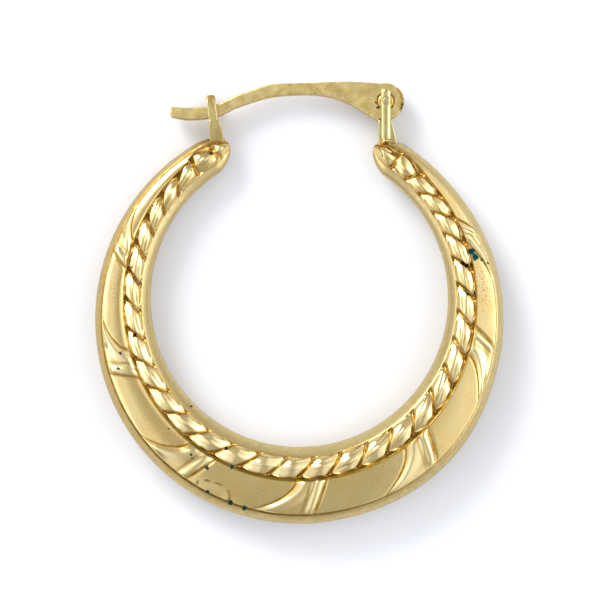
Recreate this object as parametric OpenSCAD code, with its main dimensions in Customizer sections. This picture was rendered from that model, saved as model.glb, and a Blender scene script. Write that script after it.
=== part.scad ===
// Creole hoop earring lying on its side, as it rests on a table.
// X runs across the hoop, Y towards the clasp and Z up. Sizes are in millimetres.

/* [Hoop] */
// Outer radius of the hoop
outer_r = 11; // [10.8:0.05:11.2]
// Radius of the open circle inside the hoop
inner_r = 8.04; // [7.9:0.02:8.1]
// Shift of the open circle towards the clasp, which makes the hoop a crescent
inner_shift = 1.15; // [1.05:0.01:1.2]
// Depth between the planes of the two faces, at the hoop's lowest edge
depth_bottom = 3.1; // [2.8:0.05:3.3]
// Depth between those planes at the hoop's two ends
depth_ends = 2.0; // [1.9:0.02:2.2]
// Share of the half depth that stands upright at the seam of the two stamped faces
seam_share = 0.28; // [0.24:0.01:0.4]
// Angle of the end under the hinge, seen from the centre of the open circle
hinge_end = 63.8; // [63:0.1:65]
// Angle of the end under the catch
catch_end = -245.6; // [-247:0.1:-244.5]
// How pointed the two ends are in plan, where 2 is round
end_power = 1.7; // [1.5:0.05:2.2]
// Swelling of the outer edge at the lower right, as the worn hoop is a little out of round
edge_swell = 0.14; // [0:0.01:0.16]
// Flattening of the outer edge at the upper right
edge_flat = 0.08; // [0:0.01:0.1]

/* [Plain borders] */
// Width of the inner border at the narrow ends
inner_border_min = 0.42; // [0.35:0.01:0.46]
// Width of the inner border at the wide bottom
inner_border_max = 0.5; // [0.44:0.01:0.56]
// Width of the outer border at the narrow ends
outer_border_min = 0.34; // [0.28:0.01:0.38]
// Width of the outer border at the wide bottom
outer_border_max = 0.49; // [0.4:0.01:0.55]
// How far the inner border's shoulder lies under the highest line of the face
inner_drop = 0.38; // [0.3:0.01:0.42]
// How far the outer border's shoulder lies under the highest line of the face
outer_drop = 0.37; // [0.25:0.01:0.42]

/* [Rope] */
// Whole strands between the two ends
strands = 31; // [31:1:31]
// Angle of the first groove between two strands
rope_start = -239.5; // [-240:0.1:-239]
// Mean angle from one groove to the next
strand_step = 9.5; // [9.45:0.01:9.52]
// Swing of the strand spacing, once round the hoop
spacing_swing = 3.85; // [3:0.05:4.5]
// Swing of the strand spacing, twice round the hoop
spacing_ripple = 1.4; // [0:0.05:2]
// Angle by which a strand leans across the rope
strand_lean = 7; // [5:0.1:8]
// Width of the rope where the hoop is narrow
rope_min = 0.92; // [0.85:0.01:0.95]
// Width of the rope at the wide bottom
rope_max = 1.21; // [1.1:0.01:1.3]
// Fall from a strand's crest line to its two far corners
strand_depth = 0.42; // [0.3:0.01:0.46]
// Fall from the middle of the rope to its two edges
round_depth = 0.25; // [0.15:0.01:0.28]

/* [Rib groups] */
// Number of rib groups on the smooth panel
rib_groups = 7; // [6:1:7]
// Angle of the first group's middle
rib_start = -199; // [-202:0.5:-196]
// Angle from one group to the next
rib_step = 36; // [35:0.1:37]
// Height of the crescent and the band above the panel
rib_height = 0.13; // [0.06:0.01:0.15]
// Depth of the thin groove that closes each group
rib_groove = 0.06; // [0.04:0.01:0.1]

/* [Ear wire] */
// Thickness of the ear wire, across the hoop's plane
wire_t = 0.7; // [0.6:0.02:0.76]
// Radius of the wire's eye
eye_r = 0.98; // [0.94:0.01:1]
// Radius of the bore in the eye
eye_bore_r = 0.2; // [0.19:0.01:0.24]
// Radius of the dish round the bore, on both faces of the eye
eye_dish_r = 0.45; // [0.38:0.01:0.5]
// Depth of that dish
eye_dish_t = 0.1; // [0.05:0.01:0.15]

/* [Clasp] */
// Sideways place of the hinge pin
hinge_x = 4.67; // [4.62:0.01:4.72]
// Height of the hinge pin above the centre of the outer circle
hinge_y = 11.77; // [11.72:0.01:11.82]
// Radius of the hinge pin
pin_r = 0.18; // [0.15:0.01:0.18]
// Thickness of each ear of the hinge and each prong of the catch
ear_t = 0.3; // [0.26:0.01:0.34]
// Room between the wire and the metal on either side of it
side_gap = 0.03; // [0.02:0.01:0.05]
// Width of the ear in front of the eye
front_ear_w = 0.57; // [0.5:0.01:0.62]
// Height of the catch's slot floor above the centre of the outer circle
slot_floor = 10.74; // [10.7:0.01:10.76]
// Height of the catch's tip above the centre of the outer circle
catch_top = 12.1; // [12:0.01:12.2]

/* [Hidden] */
$fn = 48;
overlap = 0.05;

// The faces taper evenly from bottom to clasp, so each face has all its highest lines in one plane.
half_bottom = depth_bottom / 2;
half_ends = depth_ends / 2;
ends_y = 9;
taper = (half_bottom - half_ends) / (outer_r + ends_y);
half_centre = half_bottom - taper * outer_r;
rest_tilt = -atan(taper);
rest_lift = half_centre * cos(rest_tilt);

// Stations along the hoop, six to a strand, and a few more over each rounded end
per_strand = 6;
first_station = 2;
last_station = strands * per_strand;
cap_steps = [0.3, 0.55, 0.74, 0.87, 0.96];

// Middle angle of the outer edge's swelling and of its flattening, and how far each reaches both ways
swell_at = -49;
swell_reach = 32;
flat_at = 33;
flat_reach = 26;

// Band widths follow how wide the crescent is at that angle.
min_band = band(hinge_end);
max_band = band(-90);

// Ear wire route: distance across, height of the middle, and width in the hoop's plane
wire_rows = [
    [-6.97, 11.22, 0.40],
    [-6.80, 11.18, 0.58],
    [-5.90, 11.09, 0.65],
    [-4.50, 11.26, 0.66],
    [-3.30, 11.78, 0.66],
    [-1.70, 12.30, 0.69],
    [-0.50, 12.42, 0.64],
    [ 0.75, 12.44, 0.65],
    [ 1.85, 12.38, 0.87],
    [ 2.90, 12.17, 1.30],
    [ 3.98, 11.81, 1.90],
    [ 4.34, 11.69, 2.08]
];
wire_cuts = 5;

eye_half = wire_t / 2;
slot_half = eye_half + side_gap;
ear_half = slot_half + ear_t;

function clamp01(v) = min(1, max(0, v));
function smooth(v) = let (c = clamp01(v)) c * c * (3 - 2 * c);
function blend(a, b, v) = a + (b - a) * v;
function bump(x) = abs(x) < 1 ? pow(cos(90 * x), 2) : 0;

// Distance from the centre of the open circle to the outer edge, less the open circle's radius
function band(a) =
    -inner_shift * sin(a) + sqrt(outer_r * outer_r - pow(inner_shift * cos(a), 2)) - inner_r
    + edge_swell * bump((a - swell_at) / swell_reach) - edge_flat * bump((a - flat_at) / flat_reach);
function breadth(a) = pow(clamp01((band(a) - min_band) / (max_band - min_band)), 2);
function half_depth(y) = half_centre - taper * y;

// Angle of a station, where a whole number is a groove of the rope
function groove_angle(n) =
    let (turn = 360 * n / strands)
    rope_start + strand_step * n - spacing_swing * sin(turn) - spacing_ripple * sin(2 * turn);

catch_cap = groove_angle(first_station / per_strand);
hinge_cap = groove_angle(strands);

// Each station is its angle, its place counted in strands, and how far it is into a rounded end.
first_n = first_station / per_strand;
end_strands = 0.92;
stations = concat(
    [for (i = [len(cap_steps) - 1:-1:0])
        [blend(catch_cap, catch_end, cap_steps[i]), first_n - end_strands * cap_steps[i], cap_steps[i]]],
    [for (i = [first_station:last_station]) [groove_angle(i / per_strand), i / per_strand, 0]],
    [for (s = cap_steps) [blend(hinge_cap, hinge_end, s), strands + end_strands * s, s]]
);

// Where the features lie across the band, as distances from the inner edge
function inner_border(a) = blend(inner_border_min, inner_border_max, breadth(a));
function outer_border(a) = blend(outer_border_min, outer_border_max, breadth(a));
function rope_edge(a) =
    let (edge = inner_border(a) + blend(rope_min, rope_max, breadth(a)),
         limit = band(a) - outer_border(a) - 0.1,
         near = max(smooth((a - 44) / 10), smooth((-222 - a) / 10)))
    blend(min(edge, limit), limit, near);

// Points across one face: inner border, rope, panel and outer border
rope_cuts = [0.2, 0.5, 0.8];
panel_cuts = [0.14, 0.38, 0.62, 0.84];
function across(a) =
    let (b = inner_border(a), r = rope_edge(a), o = band(a) - outer_border(a))
    concat([0, 0.4 * b, b],
           [for (c = rope_cuts) blend(b, r, c)],
           [r],
           [for (c = panel_cuts) blend(r, o, c)],
           [o, o + 0.6 * outer_border(a), band(a)]);
face_points = len(rope_cuts) + len(panel_cuts) + 7;

// Lean of the station line, which follows the strands and then the ribs
rib_lean = 8;
function lean(a, q) =
    let (b = inner_border(a), r = rope_edge(a), o = band(a) - outer_border(a),
         fade = min(smooth((a - catch_cap) / 14), smooth((hinge_cap - a) / 14)))
    fade * (q <= b ? strand_lean / 2
          : q <= r ? strand_lean * (0.5 - (q - b) / (r - b))
          : -strand_lean / 2 - rib_lean * min(1, (q - r) / (o - r)));

// Borders swell a little: 1 would make them plain bevels.
border_power = 0.72;

// Rise of the ribs above the panel, for an angle d from the group's middle and a share v of the way out.
// A crescent ridge rises from one side of the group, a broad band follows and a thin groove closes it.
crescent_reach = 12;
crescent_w = 2.8;
crescent_fall = 5;
band_at = [7.4, 3.6];
band_w = 2.3;
groove_at = [9.8, 4.8];
groove_w = 1.1;
function group_rise(d, v) =
    let (crescent = d - 0.5 + crescent_reach * pow(v, 1.8),
         band = d - blend(band_at[0], band_at[1], v),
         ridge = smooth(crescent / crescent_w)
                 * (1 - 0.7 * smooth((crescent - crescent_w) / crescent_fall))
                 * (1 - smooth((band + 1) / 2)))
    rib_height * max(ridge, bump(band / band_w));
function group_groove(d, v) = bump((d - blend(groove_at[0], groove_at[1], v)) / groove_w);
function rib_rise(a, v) =
    let (ds = [for (k = [0:rib_groups - 1]) a - rib_start - k * rib_step],
         rise = max([for (d = ds) group_rise(d, v)]),
         groove = max([for (d = ds) group_groove(d, v)]))
    (rise - rib_groove * groove) * min(1, 1.8 * sin(180 * clamp01(0.05 + 0.9 * v)));

// A strand lies between two grooves. It falls from a crest line across it, and from the middle of
// the rope, so there is a step at each groove. x is the share of the way over the rope, and g the
// distance to the nearest groove in strands.
crest_turn = 0.55;
crest_reach = 0.5 + crest_turn / 2;
strand_power = 1.6;
round_power = 1.3;
groove_cut = 0.06;
groove_half = 0.13;
function strand_fall(w) = strand_depth * pow(abs(w) / crest_reach, strand_power);
function strand_drop(n, x) =
    let (g = n + 0.5 - floor(n + 0.5) - 0.5,
         turn = crest_turn * (x - 0.5),
         before = strand_fall(g + 0.5 - turn),
         after = strand_fall(g - 0.5 - turn),
         body = abs(g) < 0.05 ? (before + after) / 2 : g < 0 ? before : after)
    body + round_depth * pow(abs(2 * x - 1), round_power) + groove_cut * bump(g / groove_half);

// The panel turns down into the crease beside the rope, and slopes down towards the outer border.
// Each pair holds a value for the hinge side and one for the catch side, where the panel is fuller:
// its inner half lies nearly flat and its outer half rolls over.
crease_drop = 0.12;
crease_share = [0.08, 0.3];
even_share = [0.7, 0.15];
roll_power = [2, 3.2];
// Share of the outer drop that is left at the narrow ends
ends_share = 0.45;
function catch_side(a) = smooth((0.2 - cos(a)) / 0.6);
function outer_fall(a, v) =
    let (side = catch_side(a),
         even = blend(even_share[0], even_share[1], side),
         power = blend(roll_power[0], roll_power[1], side))
    outer_drop * blend(ends_share, 1, sqrt(breadth(a))) * (even * v + (1 - even) * pow(v, power));
function panel_fall(a, v) =
    let (turn_in = blend(crease_share[0], crease_share[1], catch_side(a)))
    rib_height + crease_drop * pow(max(0, 1 - v / turn_in), 2) + outer_fall(a, v) - rib_rise(a, v);

// Depth of a point under the plane of the face's highest lines
function relief(a, n, q) =
    let (b = inner_border(a), r = rope_edge(a), o = band(a) - outer_border(a))
    q <= b ? inner_drop
    : q < r ? strand_drop(n, (q - b) / (r - b))
    : panel_fall(a, clamp01((q - r) / (o - r)));

// One point of a face: plan distance q at a station, drawn in towards the middle by a rounded end
function face_point(st, q, side) =
    let (a = st[0] + lean(st[0], q),
         w = band(st[0]),
         k = pow(1 - pow(st[2], end_power), 1 / end_power),
         mid = 0.55 * w,
         reach = q < mid ? mid : w - mid,
         off = (q - mid) / reach,
         edge = (1 - pow(pow(abs(off * k), end_power) + pow(st[2], end_power), 1 / end_power)) * reach,
         border = q < mid ? inner_border(a) : outer_border(a),
         // a leaning station line keeps its share of the band's own width there
         r = inner_r + (mid + (q - mid) * k) * band(a) / w,
         x = r * cos(a),
         y = inner_shift + r * sin(a),
         top = half_depth(y),
         seam = seam_share * top,
         rise = pow(clamp01(edge / border), border_power))
    [x, y, side * (seam + (top - relief(a, st[1], q) - seam) * rise)];

// Ring of points round the band at a station: out over the front, back under the rear
function ring(st) =
    let (qs = across(st[0]))
    concat([for (q = qs) face_point(st, q, 1)],
           [for (i = [face_points - 1:-1:0]) face_point(st, qs[i], -1)]);

function tip(a) =
    let (r = inner_r + 0.55 * band(a))
    [r * cos(a), inner_shift + r * sin(a), 0];

// Height and width of the ear wire between its rows, on a smooth curve
function spline(p0, p1, p2, p3, u) =
    0.5 * (2 * p1 + (p2 - p0) * u + (2 * p0 - 5 * p1 + 4 * p2 - p3) * u * u
           + (3 * p1 - p0 - 3 * p2 + p3) * u * u * u);
function wire_row(i) = wire_rows[min(len(wire_rows) - 1, max(0, i))];
wire_line = [
    for (i = [0:len(wire_rows) - 2], j = [0:wire_cuts - 1])
        spline(wire_row(i - 1), wire_row(i), wire_row(i + 1), wire_row(i + 2), j / wire_cuts),
    wire_rows[len(wire_rows) - 1]
];

// The object is centred over its own footprint.
top_y = max([for (p = wire_line) p[1] + p[2] / 2]);
seam_bottom = seam_share * half_depth(-outer_r);
centre_y = ((top_y - outer_r) * cos(rest_tilt) + (eye_half - seam_bottom) * sin(-rest_tilt)) / 2;

// Puts the earring down on its rear face, centred over the origin.
module at_rest() {
    translate([0, -centre_y, rest_lift]) rotate([rest_tilt, 0, 0]) children();
}

module crescent() {
    rings = [for (st = stations) ring(st)];
    n = 2 * face_points;
    m = len(rings);
    points = concat([for (r = rings, p = r) p], [tip(catch_end), tip(hinge_end)]);
    sides = [
        for (i = [0:m - 2], j = [0:n - 1])
            let (a = i * n + j, b = i * n + (j + 1) % n, c = a + n, d = b + n)
            each [[a, c, b], [b, c, d]]
    ];
    first_cap = [for (j = [0:n - 1]) [m * n, j, (j + 1) % n]];
    last_cap = [for (j = [0:n - 1]) [m * n + 1, (m - 1) * n + (j + 1) % n, (m - 1) * n + j]];
    polyhedron(points, concat(sides, first_cap, last_cap));
}

module plate(outline, z0, z1) {
    translate([0, 0, z0]) linear_extrude(z1 - z0) polygon(outline);
}

// Slotted post in which the free end of the wire lies
module catch() {
    low = [[-4.82, 9.2], [-4.06, 9.2], [-4.11, 9.95], [-4.85, 9.95]];
    low_half = 0.6 * ear_half;
    high = [[-4.3, slot_floor - 0.2], [-4.3, slot_floor], [-4.87, slot_floor], [-4.87, slot_floor - 0.2]];
    prong = [[-4.87, slot_floor - overlap], [-4.38, slot_floor - overlap], [-4.56, catch_top - 0.06],
             [-4.66, catch_top], [-4.98, catch_top - 0.02], [-5.03, catch_top - 0.1]];
    hull() {
        plate(low, -low_half, low_half);
        plate(high, -ear_half, ear_half);
    }
    plate(prong, slot_half, ear_half);
    plate(prong, -ear_half, -slot_half);
}

// Forked post that carries the pin: a foot below the eye, a narrow ear in front and a broad one behind
module hinge_post() {
    foot_top = hinge_y - eye_r - 0.2;
    foot = [[4.27, 9.2], [5.32, 9.2], [5.22, 9.8], [5.0, foot_top], [4.27, foot_top]];
    rear_r = 0.31;
    rear = [[4.27, foot_top - overlap], [5.0, foot_top - overlap],
            [hinge_x + rear_r, hinge_y], [hinge_x - rear_r, hinge_y]];
    front_x = hinge_x - front_ear_w / 2;
    front_foot = 9.4;
    dome_y = hinge_y + 0.4;
    difference() {
        union() {
            plate(foot, -ear_half, slot_half);
            plate(rear, -ear_half, -slot_half);
            translate([hinge_x, hinge_y, -ear_half]) cylinder(h = ear_t, r = rear_r);
            translate([front_x, front_foot, slot_half - overlap])
                cube([front_ear_w, foot_top - front_foot, ear_t + overlap]);
            translate([front_x, foot_top - overlap, slot_half])
                cube([front_ear_w, dome_y - foot_top + overlap, ear_t]);
            translate([hinge_x, dome_y, slot_half]) cylinder(h = ear_t, r = front_ear_w / 2);
        }
        translate([hinge_x, hinge_y, -ear_half - 1]) cylinder(h = 2 * ear_half + 2, r = pin_r + 0.01);
    }
}

module hoop() {
    color([0.88, 0.74, 0.40]) at_rest() union() {
        crescent();
        catch();
        hinge_post();
    }
}

module ear_wire() {
    upper = [for (p = wire_line) [p[0], p[1] + p[2] / 2]];
    lower = [for (i = [len(wire_line) - 1:-1:0]) [wire_line[i][0], wire_line[i][1] - wire_line[i][2] / 2]];
    bore_h = wire_t + 2;
    color([0.90, 0.79, 0.48]) at_rest() difference() {
        union() {
            plate(concat(upper, lower), -eye_half, eye_half);
            translate([hinge_x, hinge_y, -eye_half]) cylinder(h = wire_t, r = eye_r);
        }
        translate([hinge_x, hinge_y, -bore_h / 2]) cylinder(h = bore_h, r = eye_bore_r);
        for (side = [-1, 1])
            translate([hinge_x, hinge_y, side * eye_half - eye_dish_t])
                cylinder(h = 2 * eye_dish_t, r = eye_dish_r);
    }
}

module hinge_pin() {
    color([0.80, 0.70, 0.42]) at_rest()
        translate([hinge_x, hinge_y, -ear_half]) cylinder(h = 2 * ear_half, r = pin_r);
}

hoop();
ear_wire();
hinge_pin();
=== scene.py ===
import math
from functools import partial

import bmesh
import bpy
import numpy as np
from mathutils import Matrix, Vector, geometry, noise


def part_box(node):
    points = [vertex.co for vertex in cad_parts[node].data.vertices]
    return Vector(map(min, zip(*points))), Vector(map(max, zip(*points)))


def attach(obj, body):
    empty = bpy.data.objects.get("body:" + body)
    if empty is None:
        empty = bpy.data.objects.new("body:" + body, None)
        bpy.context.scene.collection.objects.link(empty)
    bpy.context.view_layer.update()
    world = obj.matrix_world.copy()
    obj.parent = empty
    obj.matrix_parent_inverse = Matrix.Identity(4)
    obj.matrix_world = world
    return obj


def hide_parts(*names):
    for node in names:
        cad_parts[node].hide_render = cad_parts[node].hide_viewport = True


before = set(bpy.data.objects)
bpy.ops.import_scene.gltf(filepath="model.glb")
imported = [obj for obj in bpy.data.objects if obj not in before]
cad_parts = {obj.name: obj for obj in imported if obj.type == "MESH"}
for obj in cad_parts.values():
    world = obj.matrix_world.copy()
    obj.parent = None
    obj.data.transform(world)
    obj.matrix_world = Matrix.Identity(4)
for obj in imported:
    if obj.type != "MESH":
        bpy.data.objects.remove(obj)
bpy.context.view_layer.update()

mm = 0.001
scene = bpy.context.scene
noise.seed_set(5)        # noise_vector takes its offsets from the clock without it
print("creole: frame loaded")


# Everything is drawn in mm round the centre of the hoop's outer circle, and then
# laid down on the table by toRest.

def clamp01(v):
    return np.clip(v, 0.0, 1.0)


def smooth(v):
    v = clamp01(v)
    return v * v * (3 - 2 * v)


def mix(a, b, v):
    return a + (b - a) * v


def sinD(v):
    return np.sin(np.radians(v))


def cosD(v):
    return np.cos(np.radians(v))


def bump(x):
    return np.where(np.abs(x) < 1, np.cos(np.pi / 2 * np.clip(x, -1, 1)) ** 2, 0)


def mark(x, middle, reach, strength=1.0):
    # a soft line or stretch, full at its middle and gone at its reach
    return strength * bump((x - middle) / reach)


hoopShape = {
    "outerR": 11.0,            # outer circle
    "innerR": 8.04,            # open circle
    "innerShift": 1.15,        # open circle shifted towards the clasp
    "depthBottom": 3.1,        # between the planes of the two faces at the lowest edge
    "depthEnds": 2.0,          # the same at the ends
    "endsY": 9.0,              # height of the ends
    "seamShare": 0.28,         # share of the half depth that stands upright at the seam
    "hingeEnd": 63.8,          # degrees
    "catchEnd": -245.6,
    "endPower": 1.7,           # roundness of the ends, 2 is round
    "tipShare": 0.55,          # where the rounded ends have their tip, as a share of the width
    "edgeSwells": [(-49, 32, 0.14), (33, 26, -0.08)],   # out of round: middle angle, reach, height
    "innerBorder": (0.42, 0.50),   # narrow and wide
    "outerBorder": (0.34, 0.49),
    "borderPower": 0.72,       # 1 is a plain bevel
    "leastPanel": 0.1,         # width of the panel that the rope always leaves
    "ropeOnly": (44, -222, 10),    # past these angles the rope takes the panel's place, over 10
    "innerDrop": 0.38,         # shoulders under the face's highest lines
    "outerDrop": 0.37,
    # the panel on the hinge side and on the catch side, where it is fuller
    "catchSide": (0.2, 0.6),   # where the change begins and its reach, as cosines of the angle
    "lipDrop": 0.12,           # turn down into the crease
    "lipShare": (0.08, 0.30),
    "evenShare": (0.7, 0.15),  # how much of the outer drop is an even slope, the rest rolls over
    "rollPower": (2.0, 3.2),
    "endsShare": 0.45,         # share of that drop at the narrow ends
    "strands": 31,
    "ropeStart": -239.5,       # degrees, first groove
    "strandStep": 9.5,
    "spacingSwing": 3.85,
    "spacingRipple": 1.4,
    "strandLean": 7.0,
    "ropeWidth": (0.92, 1.21),
    "crestTurn": 0.55,         # how far the crest line turns towards a strand's corners, in strands
    "sideDepth": 0.42,         # fall from that line to the two far corners
    "sidePower": 1.6,          # 2 is round, 1 is a sharp crest
    "roundDepth": 0.25,        # fall from the middle of the rope to its two edges
    "roundPower": 1.3,
    "strandStepHalf": 0.06,    # half the width of the step from one strand to the next, in strands
    "grooveCut": 0.06,         # extra depth along that step
    "grooveHalf": 0.13,        # half the width of the dip to that depth, in strands
    "foldCut": 0.045,          # fine lines pressed along each strand
    "foldAt": (0.62, 0.33),    # their middles, as shares of the rope's width
    "foldTurn": (0.18, 0.45),  # how much of that width it crosses, and how much more at the lower right
    "foldTurnAt": (-48, 36),   # middle angle and reach of that stretch
    "foldFaint": (-100, 24, 0.5),  # middle angle, reach and loss where the folds are rubbed down
    "foldHalf": 0.065,
    "foldReach": 0.47,         # how far along a strand it runs from the strand's middle, in strands
    "foldWander": (0.05, 2.7, 2.0),    # shift, and its turn from strand to strand and fold to fold
    "foldStrength": (0.7, 0.3, 4.1, 1.0, 2.3),     # mean, swing, turn by strand, start, turn by fold
    "creaseDrop": 0.27,        # depth of the crease between rope and panel
    "edgeEase": (0.16, 0.88),  # shares of the rope's width where it runs into the border and the crease
    "strandsFrom": 0.85,       # share of the inner border where the strands begin
    "edgeLine": 0.03,          # thin line pressed between panel and outer border
    "edgeLineHalf": 0.07,
    "perStrand": 26,           # mesh lines to a strand
    "capLines": 16,            # mesh lines over each rounded end
    "capStrands": 0.92,        # length of the rope over a rounded end, in strands
    "acrossLines": (9, 24, 32, 9),   # inner border, rope, panel, outer border
    "crowding": 0.7,           # how far the mesh lines close up at the creases
    "leanFade": 14,            # degrees over which strands and ribs lose their lean at the ends
    "pressWave": 0.006,        # unevenness of the pressed sheet
    "pressGrain": 0.9,         # waves to a mm, roughly
    "pressShift": 0.6,
    "pressAbove": 0.1,         # wave and dent begin at these heights over the hoop's middle plane
    "dentAbove": 0.5,
}


def faceTaper(s):
    return (s["depthBottom"] - s["depthEnds"]) / 2 / (s["outerR"] + s["endsY"])


def halfCentre(s):
    return s["depthBottom"] / 2 - faceTaper(s) * s["outerR"]


def restMatrix(s):
    turn = Matrix.Rotation(-math.atan(faceTaper(s)), 4, "X")     # lies on its rear face
    low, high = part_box("hoop")
    bottom = turn @ Vector((0, -s["outerR"], -s["seamShare"] * s["depthBottom"] / 2)) * mm
    lift = halfCentre(s) * math.cos(math.atan(faceTaper(s))) * mm
    return Matrix.Translation((0, low.y - bottom.y, low.z + lift)) @ turn


toRest = restMatrix(hoopShape)


def addPiece(name, shape, body, node, material):
    verts, faces = shape
    mesh = bpy.data.meshes.new(name)
    mesh.from_pydata([Vector(v) * mm for v in verts], [], faces)
    mesh.update()
    mesh.transform(toRest)
    mesh.polygons.foreach_set("use_smooth", np.ones(len(mesh.polygons), bool))
    obj = bpy.data.objects.new(name, mesh)
    scene.collection.objects.link(obj)
    mesh.materials.append(material)
    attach(obj, body)
    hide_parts(node)
    return obj


def addAttribute(obj, name, values):
    layer = obj.data.attributes.new(name, "FLOAT", "POINT")
    layer.data.foreach_set("value", np.asarray(values, np.float32))


def circle(x, y, r, sides):
    turns = np.linspace(0, 2 * np.pi, sides, endpoint=False)
    return [(x + r * math.cos(t), y + r * math.sin(t)) for t in turns]


def gridFaces(rows, cols, closed=False):
    # quads between rows of points
    faces = []
    for i in range(rows - 1):
        here, above = i * cols, (i + 1) * cols
        for j in range(cols if closed else cols - 1):
            k = (j + 1) % cols
            faces.append([here + j, above + j, above + k, here + k])
    return faces


# sizes and heights are in mm; patches are their size, where the noise begins and is full, and
# what they run between if not 0 and 1; ranges say the same of painted strengths
polishedLook = {
    "colour": (0.71, 0.56, 0.25),
    "warmColour": (0.73, 0.54, 0.21),
    "tonePatches": (1.6, 0.35, 0.65),
    "specks": 0.35,            # strength of the small warm spots
    "speckColour": (0.60, 0.36, 0.10),
    "speckPatches": (0.13, 0.48, 0.64),
    "speckAreas": (2.4, 0.45, 0.58),
    "crestHighlightColour": (0.86, 0.72, 0.38),     # painted highlight on the rope's crests and the ribs' tops
    "crestHighlightShare": 0.6,
    "freckleColour": (0.52, 0.20, 0.045),
    "frecklePatches": (0.10, 0.55, 0.68),
    # painted shade, with some tarnish, in grooves, creases and other recesses
    "grooveColour": (0.34, 0.17, 0.008),
    "grooveRange": (0.1, 0.85),
    "groovePatches": (0.35, 0.3, 0.6, 0.6, 1.0),
    # painted deep shade in the darkest creases and grooves
    "deepColour": (0.10, 0.065, 0.008),
    "deepRange": (0.2, 0.9, 0.0, 0.9),
    "wornColour": (0.50, 0.40, 0.18),      # of the plain borders
    "wornPatches": (0.25, 0.35, 0.65, 0.55, 1.0),
    "stainColour": (0.002, 0.058, 0.052),
    "pitColour": (0.030, 0.004, 0.003),
    "blotRange": (0.35, 0.75),
    "roughness": (0.11, 0.22),
    "roughnessPatches": (0.6, 0.3, 0.7),
    "grooveRoughness": 0.45,
    "grooveRoughnessRange": (0.1, 0.9),
    "wornRoughness": 0.36,
    "waveSize": 1.1,           # soft dents of the thin sheet
    "waveHeight": 0.007,
    "mottleSize": 0.30,
    "mottleHeight": 0.0016,
    "brushSize": (1.2, 0.05),  # fine lines that follow the hoop, length and width
    "brushHeight": 0.0007,
    "grainSize": 0.09,
    "grainHeight": 0.00035,
    "scratchSize": 0.4,
    "scratchThin": 12,         # how many times narrower than long
    "scratchHeight": 0.0003,
    "scratchTurn": 35,         # degrees
}
satinLook = dict(polishedLook, colour=(0.78, 0.63, 0.29), warmColour=(0.66, 0.50, 0.17),
                 tonePatches=(0.35, 0.35, 0.65), roughness=(0.24, 0.44), waveSize=0.40, waveHeight=0.006,
                 grainHeight=0.003, scratchHeight=0.0022, scratchTurn=10, specks=0.5, mottleHeight=0.003)
postLook = dict(polishedLook, colour=(0.66, 0.57, 0.27), warmColour=(0.60, 0.49, 0.19),
                tonePatches=(0.5, 0.35, 0.65), roughness=(0.14, 0.26), scratchTurn=90)
catchLook = dict(postLook, colour=(0.60, 0.51, 0.23), roughness=(0.28, 0.42), grainHeight=0.0016)
pinLook = dict(postLook, colour=(0.47, 0.42, 0.23), warmColour=(0.38, 0.33, 0.16), roughness=(0.3, 0.45))


def feed(plug, value):
    # joins a node's output to the plug, or sets a plain value on it
    if isinstance(value, bpy.types.NodeSocket):
        plug.id_data.links.new(value, plug)
    else:
        plug.default_value = value


def mathNode(tree, kind, a, b):
    node = tree.nodes.new("ShaderNodeMath")
    node.operation = kind
    feed(node.inputs[0], a)
    feed(node.inputs[1], b)
    return node.outputs["Value"]


def rangeNode(tree, value, low, high, toLow=0.0, toHigh=1.0, kind="LINEAR"):
    node = tree.nodes.new("ShaderNodeMapRange")
    node.interpolation_type = kind
    for plug, number in zip(node.inputs, (value, low, high, toLow, toHigh)):
        feed(plug, number)
    return node.outputs["Result"]


def colourNode(tree, share, a, b):
    node = tree.nodes.new("ShaderNodeMix")
    node.data_type = "RGBA"
    plugs = {p.identifier: p for p in node.inputs}
    feed(plugs["Factor_Float"], share)
    for key, colour in (("A_Color", a), ("B_Color", b)):
        feed(plugs[key], (*colour, 1) if isinstance(colour, tuple) else colour)
    return next(p for p in node.outputs if p.identifier == "Result_Color")


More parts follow.
